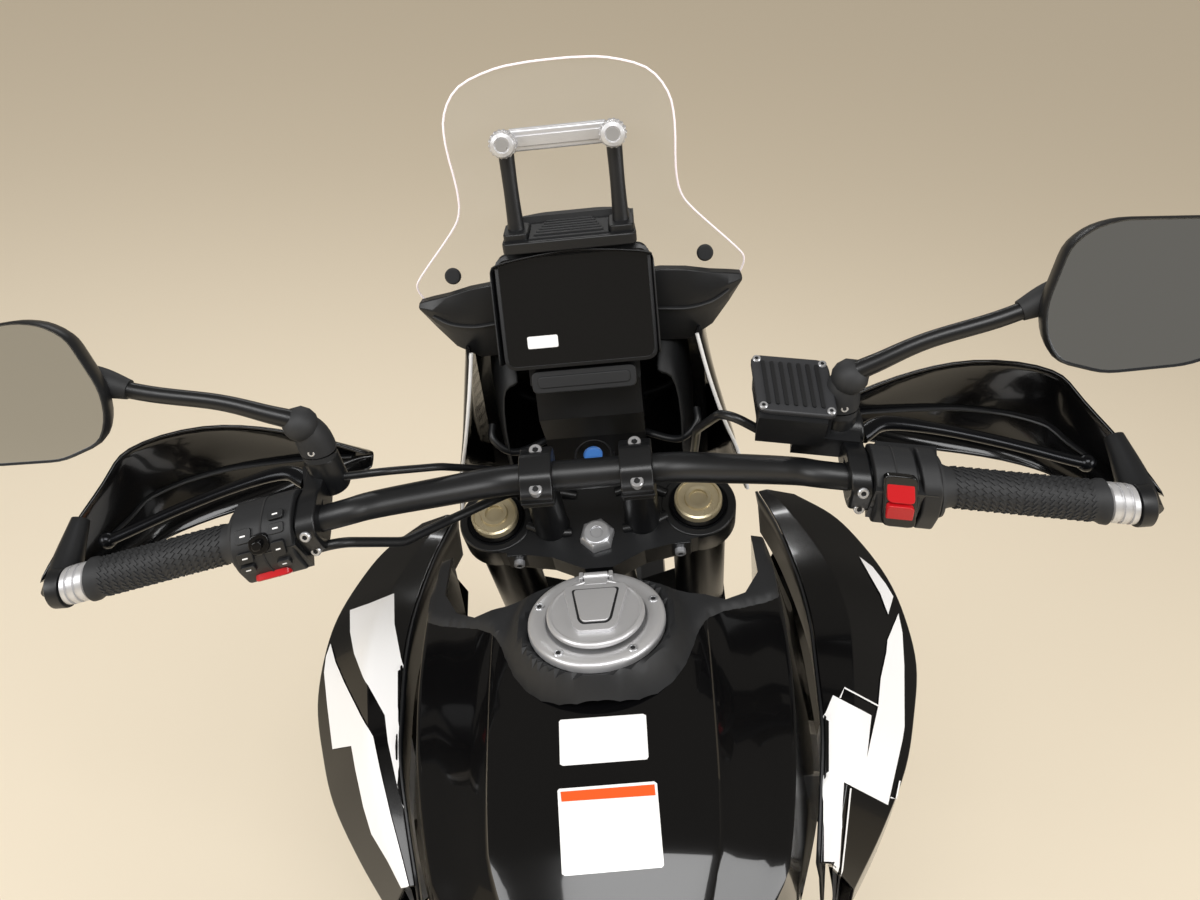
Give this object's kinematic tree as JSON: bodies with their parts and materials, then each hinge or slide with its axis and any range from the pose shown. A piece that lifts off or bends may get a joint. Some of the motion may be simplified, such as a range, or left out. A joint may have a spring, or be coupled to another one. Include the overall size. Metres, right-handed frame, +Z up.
{
  "type": "adventure motorcycle",
  "caption": "Adventure motorcycle leaning on its side stand, with turning steering and wheels, a folding stand and a hinged filler lid.",
  "frame": {"origin": "middle of the parked motorcycle's box at floor level", "axes": "+X forward, +Y to the rider's left, +Z up; the motorcycle leans to its left on its side stand"},
  "size_m": [2.1869, 1.0366, 1.4466],
  "materials": {
    "black_paint": "satin",
    "engine_paint": "satin",
    "header_steel": "brushed",
    "steel": "brushed",
    "silver_alloy": "satin",
    "radiator_core": "matte",
    "satin_black_plastic": "satin",
    "gloss_black": "gloss",
    "matte_black_plastic": "matte",
    "seat_vinyl": "matte",
    "red_lens": "gloss",
    "amber_lens": "gloss",
    "lamp_lens": "gloss",
    "screen_glass": "gloss",
    "clear_acrylic": "gloss",
    "black_alloy": "satin",
    "pale_gold_alloy": "satin",
    "hard_chrome": "polished",
    "grip_rubber": "matte",
    "tyre_rubber": "matte"
  },
  "bodies": {
    "chassis": {"main_frame": "black_paint", "subframe": "black_paint", "luggage_rack": "black_paint", "swingarm": "black_paint", "foot_pegs": "black_paint", "screen_posts": "black_paint", "engine_crankcase": "engine_paint", "engine_cylinders": "engine_paint", "exhaust_header": "header_steel", "muffler": "steel", "rear_axle": "steel", "drive_chain": "steel", "screen_knobs": "silver_alloy", "radiator": "radiator_core", "skid_plate": "satin_black_plastic", "tail_panels": "satin_black_plastic", "rear_fender": "satin_black_plastic", "dash_tower": "satin_black_plastic", "fairing_cowl": "satin_black_plastic", "fuel_tank": "gloss_black", "shroud_left": "gloss_black", "shroud_right": "gloss_black", "tank_console": "matte_black_plastic", "filler_ring": "silver_alloy", "rider_seat": "seat_vinyl", "passenger_seat": "seat_vinyl", "tail_lamp": "red_lens", "front_indicators": "amber_lens", "headlamp": "lamp_lens", "instrument_display": "screen_glass", "windscreen": "clear_acrylic", "rear_shock": "black_alloy", "rear_caliper": "black_alloy"},
    "steering": {"fork_yokes": "black_paint", "handlebar": "black_paint", "bar_clamps": "black_paint", "mirror_stems": "black_paint", "fork_outers": "black_alloy", "front_calipers": "black_alloy", "fork_caps": "pale_gold_alloy", "fork_lowers": "hard_chrome", "front_axle": "steel", "hand_levers": "steel", "bar_end_weights": "steel", "ignition_switch": "steel", "lever_perches": "black_paint", "front_fender": "satin_black_plastic", "switchgear": "satin_black_plastic", "handguards": "gloss_black", "mirrors": "gloss_black", "grips": "grip_rubber"},
    "front_wheel_set": {"front_tyre": "tyre_rubber", "front_wheel": "black_alloy", "front_discs": "steel"},
    "rear_wheel_set": {"rear_tyre": "tyre_rubber", "rear_wheel": "black_alloy", "rear_disc": "steel", "rear_sprocket": "steel"},
    "side_stand_leg": {"side_stand": "black_paint"},
    "filler_flap": {"filler_lid": "silver_alloy"}
  },
  "joints": [
    {"name": "steering_turn", "type": "hinge", "parent": "chassis", "child": "steering", "pos_m": [0.41213, -0.08228, 0.88371], "axis": [-0.4384, 0.1715, 0.8823], "range_deg": [-36, 36]},
    {"name": "front_wheel_spin", "type": "hinge", "parent": "steering", "child": "front_wheel_set", "pos_m": [0.7455, -0.18737, 0.34304], "axis": [0, 0.9816, -0.1908], "continuous": true},
    {"name": "rear_wheel_spin", "type": "hinge", "parent": "chassis", "child": "rear_wheel_set", "pos_m": [-0.7595, -0.19005, 0.3293], "axis": [0, 0.9816, -0.1908], "continuous": true},
    {"name": "side_stand_swing", "type": "hinge", "parent": "chassis", "child": "side_stand_leg", "pos_m": [-0.0995, -0.03448, 0.24914], "axis": [0, 0.9928, 0.1197], "range_deg": [0, 95]},
    {"name": "filler_lid_hinge", "type": "hinge", "parent": "chassis", "child": "filler_flap", "pos_m": [0.2735, -0.05457, 1.02625], "axis": [0, 0.9816, -0.1908], "range_deg": [0, 80]}
  ]
}
